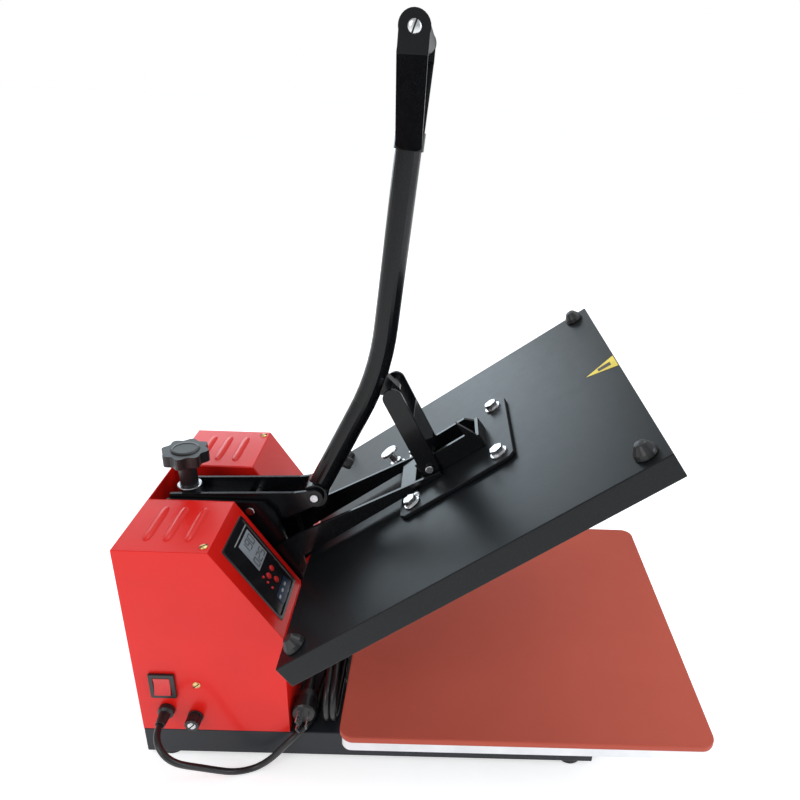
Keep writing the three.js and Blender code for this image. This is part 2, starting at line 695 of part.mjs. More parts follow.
function buildLever(parent) {
  const tube = tubeAlong(leverPath(), LEVER_RADIUS, 24, 26);
  const boss = rod("y", LEVER_RADIUS + 1.5, 2 * (ROCKER_HALF - ROCKER_WALL - 0.8), LEVER_X, 0, LEVER_Z, 28);
  const boltHole = rod("y", LEVER_BOLT_RADIUS + PIN_FIT, 60, LEVER_X, 0, LEVER_Z);
  const pinHole = rod("y", LINK_PIN_RADIUS + PIN_FIT, 40, LINK_UPPER_X, 0, LINK_UPPER_Z);
  node("lever_tube", cut(join(tube, boss, leverLug()), boltHole, pinHole), BLACK, parent);
  const pin = rod("y", LINK_PIN_RADIUS, 2 * (LINK_HALF - LINK_WALL - 0.6), LINK_UPPER_X, 0, LINK_UPPER_Z);
  node("link_upper_pin", pin, BRIGHT, parent);
}

const YOKE_START = TUBE_TOP_Z - 14;
const COLLAR_REACH = 16; // how far the yoke's collar comes down over the tube
const COLLAR_WALL = 1.8;
const STRAP_FOOT_X = TUBE_TOP_X - 1; // middle of the strap where it ends on the tube
const KNEE_DROP = 17; // from the grip's middle line down to the strap's bend
const KNEE_Z = HANDLE_Z - KNEE_DROP;
const KNEE_X = HANDLE_X - (KNEE_DROP * (HANDLE_X - STRAP_FOOT_X)) / (HANDLE_Z - YOKE_START);
const TUBE_LEAN = Math.atan2(TUBE_TOP_X - BEND_X, TUBE_TOP_Z - BEND_Z);

// Moves a piece made about z and below z = 0 on to the end of the tube.
function atTubeTop(geometry) {
  return geometry.rotateY(TUBE_LEAN).translate(TUBE_TOP_X, 0, TUBE_TOP_Z);
}

// One strap of the yoke: a flat bar from the tube up and out, bent upright beside the grip's end.
function strap(side) {
  const rise = Math.hypot(KNEE_Z - YOKE_START, KNEE_X - STRAP_FOOT_X);
  const reach = HANDLE_HALF - LEVER_RADIUS - STRAP_THICKNESS / 2;
  const length = Math.hypot(rise, reach) + STRAP_THICKNESS / 4;
  const half = STRAP_WIDTH / 2;
  const foot = STRAP_FOOT_CORNER;
  const outline = new THREE.Shape();
  outline.moveTo(half, length);
  outline.lineTo(-half, length);
  outline.absarc(-half + foot, foot, foot, Math.PI, Math.PI * 1.5);
  outline.absarc(half - foot, foot, foot, -Math.PI / 2, 0);
  outline.closePath();
  const bar = sidePlate(outline, -STRAP_THICKNESS / 2, STRAP_THICKNESS);
  bar.rotateX(-side * Math.atan2(reach, rise));
  bar.rotateY(Math.atan2(KNEE_X - STRAP_FOOT_X, KNEE_Z - YOKE_START));
  bar.translate(STRAP_FOOT_X, side * (LEVER_RADIUS + STRAP_THICKNESS / 2), YOKE_START);
  const upright = polygon([
    [KNEE_X - half, KNEE_Z - STRAP_THICKNESS / 2],
    [KNEE_X + half, KNEE_Z - STRAP_THICKNESS / 2],
    [HANDLE_X + half, HANDLE_Z],
    [HANDLE_X - half, HANDLE_Z],
  ]);
  return join(bar, sidePlate(upright, side * HANDLE_HALF - STRAP_THICKNESS / 2, STRAP_THICKNESS));
}

function buildHandle(parent) {
  const collar = atTubeTop(rod("z", LEVER_RADIUS + COLLAR_WALL, COLLAR_REACH, 0, 0, -COLLAR_REACH / 2, 28));
  const bore = atTubeTop(rod("z", LEVER_RADIUS + GAP, 60, 0, 0, GAP - 30, 28));
  const discs = [-1, 1].map((side) =>
    rod("y", DISC_RADIUS, STRAP_THICKNESS, HANDLE_X, side * HANDLE_HALF, HANDLE_Z, 28));
  const straps = [strap(-1), strap(1)];
  const between = 2 * (HANDLE_HALF - STRAP_THICKNESS / 2);
  const clearance = rod("y", GRIP_RADIUS + GAP, between, HANDLE_X, 0, HANDLE_Z, 28);
  node("handle_yoke", cut(join(collar, ...discs, ...straps), bore, clearance), BLACK, parent);
  const gripLength = between - 2 * GAP;
  node("cross_grip", rod("y", GRIP_RADIUS, gripLength, HANDLE_X, 0, HANDLE_Z, 28), PLASTIC, parent);
}

// ---- Heater: closed position about the hinge, then turned open ----
const along = (x) => COVER_REAR + x;
const above = (h) => COVER_TOP + h;

function armOutline() {
  const outline = new THREE.Shape();
  outline.moveTo(8, -14);
  outline.lineTo(COVER_REAR - 16, 6);
  outline.lineTo(COVER_REAR - 4, above(MOUNT_THICKNESS + GAP));
  outline.lineTo(along(ARM_END), above(MOUNT_THICKNESS + GAP));
  outline.lineTo(along(ARM_END), above(ARM_TOP_FRONT));
  outline.lineTo(along(10), above(ARM_TOP_REAR));
  outline.lineTo(along(-30), above(ARM_TOP_REAR));
  outline.lineTo(-10, 12);
  outline.absarc(0, 0, 16, 2.3, 5.2);
  outline.closePath();
  outline.holes.push(circleHole(0, 0, HINGE_RADIUS + HINGE_FIT));
  return outline;
}

function buildSwingArm(parent) {
  const near = sidePlate(armOutline(), -ARM_INNER - ARM_WALL, ARM_WALL);
  const far = sidePlate(armOutline(), ARM_INNER, ARM_WALL);
  const tieBottom = above(MOUNT_THICKNESS + GAP);
  const tie = block(along(MOUNT_START + 4), -ARM_INNER - 1, tieBottom, 20, 2 * ARM_INNER + 2, 8);
  node("swing_arm", join(near, far, tie), BLACK, parent);
}

function linkOutline() {
  const lower = LINK_END_RADIUS;
  const outline = new THREE.Shape();
  outline.absarc(0, 0, lower, Math.PI, Math.PI * 2);
  outline.absarc(0, LINK_LENGTH, lower, 0, Math.PI);
  outline.closePath();
  outline.holes.push(circleHole(0, 0, LINK_PIN_RADIUS + PIN_FIT));
  return outline;
}

// The link's length and lean follow from its two pivots with the press standing open.
const lowerClosed = flat(along(LINK_LOWER_ALONG), above(LINK_LOWER_ABOVE));
const upperFromHinge = flat(LINK_UPPER_X - HINGE_X, LINK_UPPER_Z - HINGE_Z);
const upperClosed = upperFromHinge.clone().rotateAround(flat(0, 0), -TURN);
const linkRun = upperClosed.clone().sub(lowerClosed);
const LINK_LENGTH = linkRun.length();

function buildLink(parent) {
  const group = new THREE.Group();
  group.position.set(lowerClosed.x, 0, lowerClosed.y);
  group.rotation.y = Math.PI / 2 - Math.atan2(linkRun.y, linkRun.x);
  parent.add(group);
  const near = sidePlate(linkOutline(), -LINK_HALF, LINK_WALL);
  const far = sidePlate(linkOutline(), LINK_HALF - LINK_WALL, LINK_WALL);
  const webHeight = LINK_WEB_TOP - LINK_WEB_BOTTOM;
  const web = block(LINK_END_RADIUS - 3, -LINK_HALF + 1, LINK_WEB_BOTTOM, 3, 2 * LINK_HALF - 2, webHeight);
  node("toggle_link", join(near, far, web), BLACK, group);
}

// A rectangle along the cover with its corners cut off.
function mountOutline() {
  const half = MOUNT_WIDTH / 2;
  const [rear, front] = [along(MOUNT_START), along(MOUNT_START + MOUNT_LENGTH)];
  return polygon([
    [rear + MOUNT_CORNER, -half],
    [front - MOUNT_CORNER, -half],
    [front, -half + MOUNT_CORNER],
    [front, half - MOUNT_CORNER],
    [front - MOUNT_CORNER, half],
    [rear + MOUNT_CORNER, half],
    [rear, half - MOUNT_CORNER],
    [rear, -half + MOUNT_CORNER],
  ]);
}

// A side flange of the link's bracket. The near one's front corner stands up in a fin.
function bracketOutline(finTop) {
  const top = above(BRACKET_TOP);
  const outline = polygon([
    [along(BRACKET_START), above(MOUNT_THICKNESS + GAP)],
    [along(BRACKET_END), above(MOUNT_THICKNESS + GAP)],
    [along(BRACKET_END), above(BRACKET_FIN_FOOT)],
    [along(BRACKET_END - 0.3 * BRACKET_FIN), above(BRACKET_FIN_FOOT + 0.4 * (finTop - BRACKET_FIN_FOOT))],
    [along(BRACKET_END - BRACKET_FIN), above(finTop)],
    [along(BRACKET_END - BRACKET_FIN), top],
    [along(BRACKET_START), top],
  ]);
  outline.holes.push(circleHole(lowerClosed.x, lowerClosed.y, LINK_PIN_RADIUS + PIN_FIT));
  return outline;
}

function buildBracket(parent) {
  const thickness = MOUNT_THICKNESS - GAP;
  const plate = slab(mountOutline(), above(GAP), thickness);
  const boltPlaces = [];
  for (const x of [MOUNT_START + MOUNT_BOLT_INSET, MOUNT_START + MOUNT_LENGTH - MOUNT_BOLT_INSET])
    for (const y of [-1, 1]) boltPlaces.push([along(x), y * (MOUNT_WIDTH / 2 - MOUNT_BOLT_INSET)]);
  node("mounting_plate", plate, BLACK, parent);
  const near = sidePlate(bracketOutline(BRACKET_FIN_TOP), -BRACKET_HALF, BRACKET_WALL);
  const far = sidePlate(bracketOutline(BRACKET_TOP), BRACKET_HALF - BRACKET_WALL, BRACKET_WALL);
  const front = block(
    along(BRACKET_END - BRACKET_WALL),
    -BRACKET_HALF + 1,
    above(MOUNT_THICKNESS + GAP),
    BRACKET_WALL,
    2 * BRACKET_HALF - 2,
    BRACKET_FRONT_TOP - MOUNT_THICKNESS - GAP,
  );
  node("link_bracket", join(near, far, front), BLACK, parent);
  const pin = rod("y", LINK_PIN_RADIUS, 2 * (LINK_HALF + 4), lowerClosed.x, 0, lowerClosed.y);
  node("link_lower_pin", pin, BRIGHT, parent);
  boltPlaces.forEach(([x, y], i) => {
    const head = rod("z", 7.5, 6, x, y, above(MOUNT_THICKNESS + GAP) + 4.6, 6);
    const washer = rod("z", 9.5, 1.8, x, y, above(MOUNT_THICKNESS + GAP) + 0.9, 20);
    node(`plate_bolt_${i + 1}`, join(washer, head), BRIGHT, parent);
  });
}

function buildPlaten(parent) {
  const outer = block(COVER_REAR, -COVER_SIZE / 2, COVER_BOTTOM, COVER_SIZE, COVER_SIZE, COVER_HEIGHT);
  const inside = COVER_SIZE - 2 * COVER_WALL;
  const hollow = block(
    COVER_REAR + COVER_WALL,
    -inside / 2,
    COVER_BOTTOM - 1,
    inside,
    inside,
    COVER_HEIGHT + 1 - COVER_WALL,
  );
  node("platen_cover", cut(outer, hollow), BLACK, parent);
  const middle = COVER_REAR + COVER_SIZE / 2;
  const outline = roundedSquare(PAD_SIZE, PLATE_CORNER, middle);
  const heater = slab(outline, COVER_BOTTOM - HEATER_DROP, HEATER_THICKNESS);
  node("heating_plate", heater, PLATINUM, parent);
  const cap = [flat(0, 0), flat(11, 0), flat(10, 5), flat(5, 12), flat(0, 12.5)];
  const inset = 19;
  const corners = [["rear", inset], ["front", COVER_SIZE - inset]];
  for (const [end, x] of corners)
    for (const [side, sign] of [["near", -1], ["far", 1]]) {
      const geometry = new THREE.LatheGeometry(cap, 20).rotateX(Math.PI / 2);
      geometry.translate(along(x), sign * (COVER_SIZE / 2 - inset), above(GAP));
      node(`${end}_${side}_corner_cap`, geometry, PLASTIC, parent);
    }
}

// ---- Supply lead ----
// Along the press, inwards from its near face, and up.
// The stretch that shows: out of the gland, down to the table, along the base and up on to the deck.
const LEAD_POINTS = [
  [29.5, -22.8, 70],
  [29.6, -26, 70],
  [31, -34, 68.9],
  [34.5, -41.4, 66.2],
  [40.3, -47.4, 61.9],
  [47.3, -50.6, 56.6],
  [54.9, -50.6, 50.6],
  [62.5, -47.8, 44],
  [71, -42.8, 35.6],
  [80, -37, 26],
  [89, -31.4, 16.8],
  [98, -26.6, 9.4],
  [107, -22.6, 5.1],
  [116, -19.2, 3.7],
  [125, -16.8, 5.3],
  [134, -15, 10.2],
  [143, -13.8, 18],
  [150, -12.8, 25.6],
  [156.3, -11.4, 33],
  [163.6, -8.6, 39.8],
  [170.6, -3.4, 43.8],
  [176.7, 4.6, 45.2],
  [181.2, 14.4, 44.8],
  [183.7, 24.5, 44.2],
  [184.4, 35, 44],
  [184.4, 47, 44],
];
const TAIL_POINTS = [
  [184.4, 141, 84.7],
  [184.2, 129, 83.3],
  [183.2, 115, 80.3],
  [181, 99, 75.4],
  [178, 84, 69.7],
  [175.6, 71, 64.8],
  [174.6, 57, 62.4],
];

function lead(points, steps) {
  const route = points.map(([x, y, z]) => mm(x, y - CASE_OUTER, z));
  const curve = new THREE.CatmullRomCurve3(route, false, "centripetal");
  return tubeAlong(curve, CORD_DIAMETER / 2, 8, steps);
}

// Half the plug's outline about the lead's line: distance out, and place along it.
const PLUG_PROFILE = [
  [0, -15],
  [11.6, -15],
  [13.2, -13.2],
  [13.2, 2],
  [10.5, 12],
  [7, 15],
  [0, 15],
];
// Where each blade stands on the plug's face, and its turn.
const PLUG_BLADES = [
  [-3.4, 5.6, -0.6],
  [-3.4, -5.6, -0.6],
  [6, 0, 0],
];
const BLADE_WIDTH = 6.3;
const BLADE_THICKNESS = 1.6;
const BLADE_LENGTH = 17;

// A solid turned about y.
function latheY(profile, segments) {
  return new THREE.LatheGeometry(profile.map(([r, y]) => flat(r, y)), segments);
}

function blade([x, z, turn]) {
  const geometry = new THREE.BoxGeometry(BLADE_THICKNESS, BLADE_LENGTH + 1, BLADE_WIDTH);
  return geometry.rotateY(turn).translate(x, -14.5 - BLADE_LENGTH / 2, z);
}

function buildLead(parent) {
  node("supply_cord", lead(LEAD_POINTS, 26), PLASTIC, parent);
  node("plug_cord", lead(TAIL_POINTS, 7), PLASTIC, parent);
  const radius = HANK_HEIGHT / 2;
  const middle = RAIL_TOP + GAP + radius;
  const outline = new THREE.Shape();
  outline.absarc(HANK_Y + radius, middle, radius, Math.PI / 2, Math.PI * 1.5);
  outline.absarc(HANK_Y + HANK_LENGTH - radius, middle, radius, -Math.PI / 2, Math.PI / 2);
  outline.closePath();
  const width = HANK_TURNS * (CORD_DIAMETER + GAP);
  const hank = new THREE.ExtrudeGeometry(outline, { depth: width, bevelEnabled: false, curveSegments: 10 });
  // Drawn in y and z, and as thick as its turns along x.
  hank.rotateX(Math.PI / 2).rotateZ(Math.PI / 2);
  node("cord_hank", hank.translate(HANK_X, 0, 0), PLASTIC, parent);

  const plug = new THREE.Group();
  plug.position.set(PLUG_X, PLUG_Y, RAIL_TOP + CORD_DIAMETER + 3 * GAP + 14.5);
  parent.add(plug);
  const body = latheY(PLUG_PROFILE, 28);
  const relief = new THREE.CylinderGeometry(6.5, 5, 24, 16).rotateX(Math.PI).translate(0, 25, 0);
  node("mains_plug", join(body, relief, ...PLUG_BLADES.map(blade)), PLASTIC, plug);
}

// ---- Assembly ----
const press = new THREE.Group();
press.position.x = -MIDDLE_X;
buildBase(press);
buildBed(press);
buildCasing(press);
buildControls(press);
buildButtons(press);
buildSwitch(press);
buildFuse(press);
buildGland(press);
buildInsides(press);
buildMast(press);
buildPressureHead(press);
buildKnob(press);
buildLever(press);
buildHandle(press);
const heater = new THREE.Group();
heater.position.set(HINGE_X, 0, HINGE_Z);
heater.rotation.y = -TURN;
press.add(heater);
buildSwingArm(heater);
buildLink(heater);
buildBracket(heater);
buildPlaten(heater);
buildLead(press);

const group = new THREE.Group();
group.add(press);
export default group;
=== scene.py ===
"""Clamshell heat press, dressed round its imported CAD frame. Metres, +Z up, +X towards the operator."""
import math
import bmesh
import bpy
from mathutils import Matrix, Vector


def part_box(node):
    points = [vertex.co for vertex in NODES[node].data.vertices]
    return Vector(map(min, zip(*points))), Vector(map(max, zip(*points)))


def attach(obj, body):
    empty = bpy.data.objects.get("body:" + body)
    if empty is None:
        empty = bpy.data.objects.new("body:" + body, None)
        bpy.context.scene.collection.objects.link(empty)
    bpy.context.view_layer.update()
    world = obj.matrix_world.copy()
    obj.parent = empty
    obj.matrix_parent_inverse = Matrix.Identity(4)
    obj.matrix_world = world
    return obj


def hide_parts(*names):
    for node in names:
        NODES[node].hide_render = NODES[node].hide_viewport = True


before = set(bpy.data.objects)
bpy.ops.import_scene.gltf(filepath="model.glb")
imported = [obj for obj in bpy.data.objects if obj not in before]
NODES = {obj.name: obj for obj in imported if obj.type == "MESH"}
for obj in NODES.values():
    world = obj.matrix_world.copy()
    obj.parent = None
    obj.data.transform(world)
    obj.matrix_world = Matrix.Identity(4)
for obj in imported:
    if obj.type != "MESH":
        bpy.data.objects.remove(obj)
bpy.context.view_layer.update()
SCENE = bpy.context.scene
MM = 0.001
MIDDLE_X = 0.3013  # from the back of the casing to the origin
NEAR, FAR, UP, BACK, ACROSS = (0, -1, 0), (0, 1, 0), (0, 0, 1), (-1, 0, 0), Vector((0, 1, 0))


# ---- Camera ----
CAMERA_PLACE = (0.0105, -0.6867, 0.6910)
CAMERA_YAW = -0.0211826
CAMERA_PITCH = 0.420318
CAMERA_ROLL = 0.0441708
CAMERA_LENS = 31.45
CAMERA_SENSOR = 36
CAMERA_SHIFT = (-0.0666, 0.0051)
CAMERA_NEAREST = 0.01


def make_camera():
    data = bpy.data.cameras.new("camera")
    data.lens = CAMERA_LENS
    data.sensor_width = CAMERA_SENSOR
    data.shift_x, data.shift_y = CAMERA_SHIFT
    data.clip_start = CAMERA_NEAREST
    camera = bpy.data.objects.new("camera", data)
    SCENE.collection.objects.link(camera)
    sy, cy = math.sin(CAMERA_YAW), math.cos(CAMERA_YAW)
    sp, cp = math.sin(CAMERA_PITCH), math.cos(CAMERA_PITCH)
    look = Vector((-sy * cp, cy * cp, -sp))
    right = Vector((cy, sy, 0))
    up = right.cross(look)
    sr, cr = math.sin(CAMERA_ROLL), math.cos(CAMERA_ROLL)
    right, up = right * cr + up * sr, up * cr - right * sr
    turn = Matrix((right, up, -look)).transposed().to_4x4()
    camera.matrix_world = Matrix.Translation(CAMERA_PLACE) @ turn
    SCENE.camera = camera


make_camera()


# ---- Objects ----
SHARP_ANGLE = math.radians(35)
TUBE_ROUNDNESS = 6


def add(name, data, body, material=None):
    piece = bpy.data.objects.new(name, data)
    SCENE.collection.objects.link(piece)
    if material:
        data.materials.append(material)
    if body:
        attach(piece, body)
    return piece


def mesh_from(build):
    """The mesh that build(bm) makes, smooth across its shallow edges."""
    bm = bmesh.new()
    build(bm)
    bmesh.ops.recalc_face_normals(bm, faces=bm.faces)
    for face in bm.faces:
        face.smooth = True
    data = bpy.data.meshes.new("mesh")
    bm.to_mesh(data)
    bm.free()
    data.set_sharp_from_angle(angle=SHARP_ANGLE)
    return data


def lathe(profile, sides=32):
    """Turns (radius, height) points about z."""
    def build(bm):
        rings = []
        for radius, height in profile:
            if radius < 1e-7:
                rings.append([bm.verts.new((0, 0, height))])
                continue
            turns = [i * math.tau / sides for i in range(sides)]
            rings.append([bm.verts.new((radius * math.cos(a), radius * math.sin(a), height)) for a in turns])
        for low, high in zip(rings, rings[1:]):
            for i in range(sides):
                j = (i + 1) % sides
                corners = [low[i % len(low)], low[j % len(low)], high[j % len(high)], high[i % len(high)]]
                unique = list(dict.fromkeys(corners))
                if len(unique) > 2:
                    bm.faces.new(unique)
    return build


def prism(outline, depth):
    """An outline in x and y, from z 0 up by depth."""
    def build(bm):
        low = [bm.verts.new((x, y, 0)) for x, y in outline]
        high = [bm.verts.new((x, y, depth)) for x, y in outline]
        bm.faces.new(low[::-1])
        bm.faces.new(high)
        for i in range(len(outline)):
            j = (i + 1) % len(outline)
            bm.faces.new((low[i], low[j], high[j], high[i]))
    return build


def rounded_outline(half_x, half_y, round_x, round_y=None, steps=3):
    """A rectangle's corner points, each corner turned in the given number of steps."""
    round_y = round_x if round_y is None else round_y
    outline = []
    for sx, sy, start in ((1, 1, 0), (-1, 1, 1), (-1, -1, 2), (1, -1, 3)):
        for i in range(steps + 1):
            a = (start + i / steps) * math.pi / 2
            outline.append((
                sx * (half_x - round_x) + round_x * math.cos(a),
                sy * (half_y - round_y) + round_y * math.sin(a),
            ))
    return outline


def close_rings(bm, rings):
    """Joins each ring of vertices to the next, and the last to the first."""
    for a, b in zip(rings, rings[1:] + rings[:1]):
        for i in range(len(a)):
            j = (i + 1) % len(a)
            bm.faces.new((a[i], a[j], b[j], b[i]))


def in_mm(points):
    return [(x * MM, y * MM) for x, y in points]


def placed(data, place, outward, spin=0.0):
    """Moves a mesh made about z so that its z points outward at place."""
    turn = Vector(outward).to_track_quat("Z", "Y").to_matrix().to_4x4()
    data.transform(Matrix.Translation(place) @ turn @ Matrix.Rotation(spin, 4, "Z"))
    return data


def tube_curve(name, points, radius, body, material):
    """A round tube along the points."""
    curve = bpy.data.curves.new(name, "CURVE")
    curve.dimensions = "3D"
    curve.bevel_depth = radius
    curve.bevel_resolution = TUBE_ROUNDNESS
    curve.use_fill_caps = True
    spline = curve.splines.new("POLY")
    spline.points.add(len(points) - 1)
    for point, place in zip(spline.points, points):
        point.co = (*place, 1)
    spline.use_smooth = True
    return add(name, curve, body, material)


# ---- Materials ----
COAT_ROUGHNESS = 0.06


class Look:
    """A node material under construction."""

    def __init__(self, name, colour, roughness, metallic=0.0, coat=0.0, specular=0.5):
        self.material = bpy.data.materials.new(name)
        self.material.use_nodes = True
        self.nodes = self.material.node_tree.nodes
        self.links = self.material.node_tree.links
        self.shader = self.nodes["Principled BSDF"]
        self.set("Base Color", (*colour, 1))
        self.set("Roughness", roughness)
        self.set("Metallic", metallic)
        self.set("Coat Weight", coat)
        self.set("Coat Roughness", COAT_ROUGHNESS)
        self.set("Specular IOR Level", specular)
        self.place = self.nodes.new("ShaderNodeTexCoord").outputs["Object"]

    def set(self, socket, value):
        self.shader.inputs[socket].default_value = value

    def noise(self, scale, detail=3.0, stretch=None):
        node = self.nodes.new("ShaderNodeTexNoise")
        node.inputs["Scale"].default_value = scale
        node.inputs["Detail"].default_value = detail
        source = self.place
        if stretch:
            mapping = self.nodes.new("ShaderNodeMapping")
            mapping.inputs["Scale"].default_value = stretch
            self.links.new(source, mapping.inputs["Vector"])
            source = mapping.outputs["Vector"]
        self.links.new(source, node.inputs["Vector"])
        return node.outputs["Fac"]

    def ramp(self, factor, stops):
        node = self.nodes.new("ShaderNodeValToRGB")
        ramp = node.color_ramp
        while len(ramp.elements) < len(stops):
            ramp.elements.new(0.5)
        for element, (position, colour) in zip(ramp.elements, stops):
            element.position = position
            element.color = (*colour, 1)
        self.links.new(factor, node.inputs["Fac"])
        return node.outputs["Color"]

    def colour_by(self, factor, low, high, start=0.35, end=0.65):
        self.links.new(self.ramp(factor, [(start, low), (end, high)]), self.shader.inputs["Base Color"])

    def rough_by(self, factor, low, high):
        node = self.nodes.new("ShaderNodeMapRange")
        node.inputs["To Min"].default_value = low
        node.inputs["To Max"].default_value = high
        self.links.new(factor, node.inputs["Value"])
        self.links.new(node.outputs["Result"], self.shader.inputs["Roughness"])

    def bump(self, height, strength, distance=0.0005):
        node = self.nodes.new("ShaderNodeBump")
        node.inputs["Strength"].default_value = strength
        node.inputs["Distance"].default_value = distance
        before = self.shader.inputs["Normal"]
        if before.is_linked:
            self.links.new(before.links[0].from_socket, node.inputs["Normal"])
        self.links.new(height, node.inputs["Height"])
        self.links.new(node.outputs["Normal"], before)


def powder(name, colour, variation, roughness, coat, specular=0.5, grain=1200, depth=0.06, speckle=None):
    """Sprayed enamel: slight tone variation, orange peel and, in hammered black, fine lighter specks."""
    look = Look(name, colour, roughness, coat=coat, specular=specular)
    dark = tuple(c * (1 - variation) for c in colour)
    light = tuple(c * (1 + variation) for c in colour)
    if speckle:
        specks = look.noise(1900, 1)
        stops = [(0.3, dark), (0.62, light), (0.7, speckle)]
        look.links.new(look.ramp(specks, stops), look.shader.inputs["Base Color"])
    else:
        look.colour_by(look.noise(14, 2), dark, light, 0.3, 0.7)
    look.rough_by(look.noise(80), roughness * 0.9, roughness * 1.1)
    look.bump(look.noise(grain, 1), depth, 0.0003)
    return look.material


def metal(name, colour, roughness, stretch=(1, 1, 1), scale=400, depth=0.08):
    look = Look(name, colour, roughness, metallic=1.0)
    look.colour_by(look.noise(40), tuple(c * 0.9 for c in colour), colour)
    streaks = look.noise(scale, 2, stretch=stretch)
    look.rough_by(streaks, roughness * 0.7, roughness * 1.4)
    look.bump(streaks, depth, 0.0002)
    return look.material


def plastic(name, colour, roughness, grain=900, depth=0.12, specular=0.5):
    look = Look(name, colour, roughness, specular=specular)
    look.colour_by(look.noise(25), tuple(c * 0.85 for c in colour), tuple(c * 1.15 for c in colour))
    look.rough_by(look.noise(60), roughness * 0.85, roughness * 1.15)
    look.bump(look.noise(grain, 2), depth, 0.0003)
    return look.material


RED_ENAMEL = powder("red_enamel", (0.72, 0.0105, 0.006), 0.04, 0.32, 0.12, 0.28)
BLACK_ENAMEL = powder(
    "black_enamel", (0.0035, 0.0038, 0.0045), 0.2, 0.2, 0.1, 0.25, depth=0.12,
    speckle=(0.018, 0.021, 0.028),
)
PLATEN_ENAMEL = powder(
    "platen_enamel", (0.005, 0.006, 0.0072), 0.15, 0.34, 0.0, 0.22, grain=900, depth=0.15,
    speckle=(0.02, 0.024, 0.029),
)
SLATE_ENAMEL = powder("slate_enamel", (0.016, 0.019, 0.024), 0.08, 0.42, 0.0, 0.3, grain=700, depth=0.12)
ZINC = metal("zinc_plate", (0.72, 0.73, 0.74), 0.25)
STEEL = metal("turned_steel", (0.62, 0.63, 0.65), 0.22, stretch=(1, 12, 1))
BRASS = metal("brass", (0.8, 0.56, 0.24), 0.28)
ALUMINIUM = metal("milled_aluminium", (0.75, 0.76, 0.78), 0.33, stretch=(1, 1, 14), scale=260, depth=0.15)
BLACK_PLASTIC = plastic("black_plastic", (0.012, 0.012, 0.013), 0.38)
GLOSS_PLASTIC = plastic("gloss_black_plastic", (0.01, 0.01, 0.012), 0.2, depth=0.04)
GRIP_RUBBER = plastic("grip_rubber", (0.015, 0.015, 0.016), 0.5, grain=1600, depth=0.3)
CORD_RUBBER = plastic("cord_rubber", (0.01, 0.01, 0.011), 0.33, grain=1500, depth=0.1)
FOOT_RUBBER = plastic("foot_rubber", (0.02, 0.02, 0.02), 0.7, depth=0.3)
RED_PLASTIC = plastic("red_plastic", (0.62, 0.02, 0.02), 0.3, depth=0.04)
RELAY_PLASTIC = plastic("relay_plastic", (0.03, 0.03, 0.035), 0.45)
BOARD = plastic("circuit_board", (0.01, 0.12, 0.05), 0.4, grain=300, depth=0.3)
CORE_STEEL = metal("core_steel", (0.35, 0.33, 0.3), 0.5, stretch=(1, 1, 30), scale=900, depth=0.4)


def silicone():
    """Dull moulded rubber sheet, very slightly uneven in tone."""
    look = Look("silicone", (0.43, 0.071, 0.042), 0.62, specular=0.3)
    look.colour_by(look.noise(5, 2), (0.415, 0.067, 0.04), (0.45, 0.076, 0.045))
    look.rough_by(look.noise(50), 0.55, 0.7)
    look.bump(look.noise(1400, 1), 0.15, 0.0003)
    return look.material


SILICONE = silicone()
LCD = plastic("window_film", (0.30, 0.33, 0.36), 0.25, grain=200, depth=0.02)
SEGMENT = plastic("segment_ink", (0.05, 0.055, 0.06), 0.35)
SILVER_INK = plastic("silver_ink", (0.5, 0.5, 0.52), 0.3)
BLUE_FILM = plastic("blue_film", (0.008, 0.03, 0.07), 0.3, depth=0.03)
YELLOW_FILM = plastic("yellow_film", (0.8, 0.62, 0.05), 0.4, depth=0.05)
DARK_INK = plastic("dark_ink", (0.05, 0.04, 0.02), 0.45)
# Near-black for the screw slots: painted shade standing in for the shade inside a slot.
SHADOW_PLASTIC = plastic("painted_slot_shade", (0.004, 0.004, 0.004), 0.7)


# ---- The CAD nodes that show: rounded edges and materials ----
WELD_REACH = 0.00002
FLAT_WITHIN = math.radians(0.5)
ROUNDED_OVER = math.radians(38)
ROUNDING_SEGMENTS = 2


def dress(node, material, bevel):
    """Gives a node its material and, with bevel in millimetres, rounded edges."""
    piece = NODES[node]
    piece.data.materials.clear()
    piece.data.materials.append(material)
    weld = piece.modifiers.new("weld", "WELD")
    weld.merge_threshold = WELD_REACH
    if bevel:
        flat = piece.modifiers.new("flat", "DECIMATE")
        flat.decimate_type = "DISSOLVE"
        flat.angle_limit = FLAT_WITHIN
        rounding = piece.modifiers.new("rounding", "BEVEL")
        rounding.width = bevel * MM
        rounding.segments = ROUNDING_SEGMENTS
        rounding.limit_method = "ANGLE"
        rounding.angle_limit = ROUNDED_OVER
        rounding.miter_outer = "MITER_ARC"
    normals = piece.modifiers.new("normals", "WEIGHTED_NORMAL")
    normals.keep_sharp = True


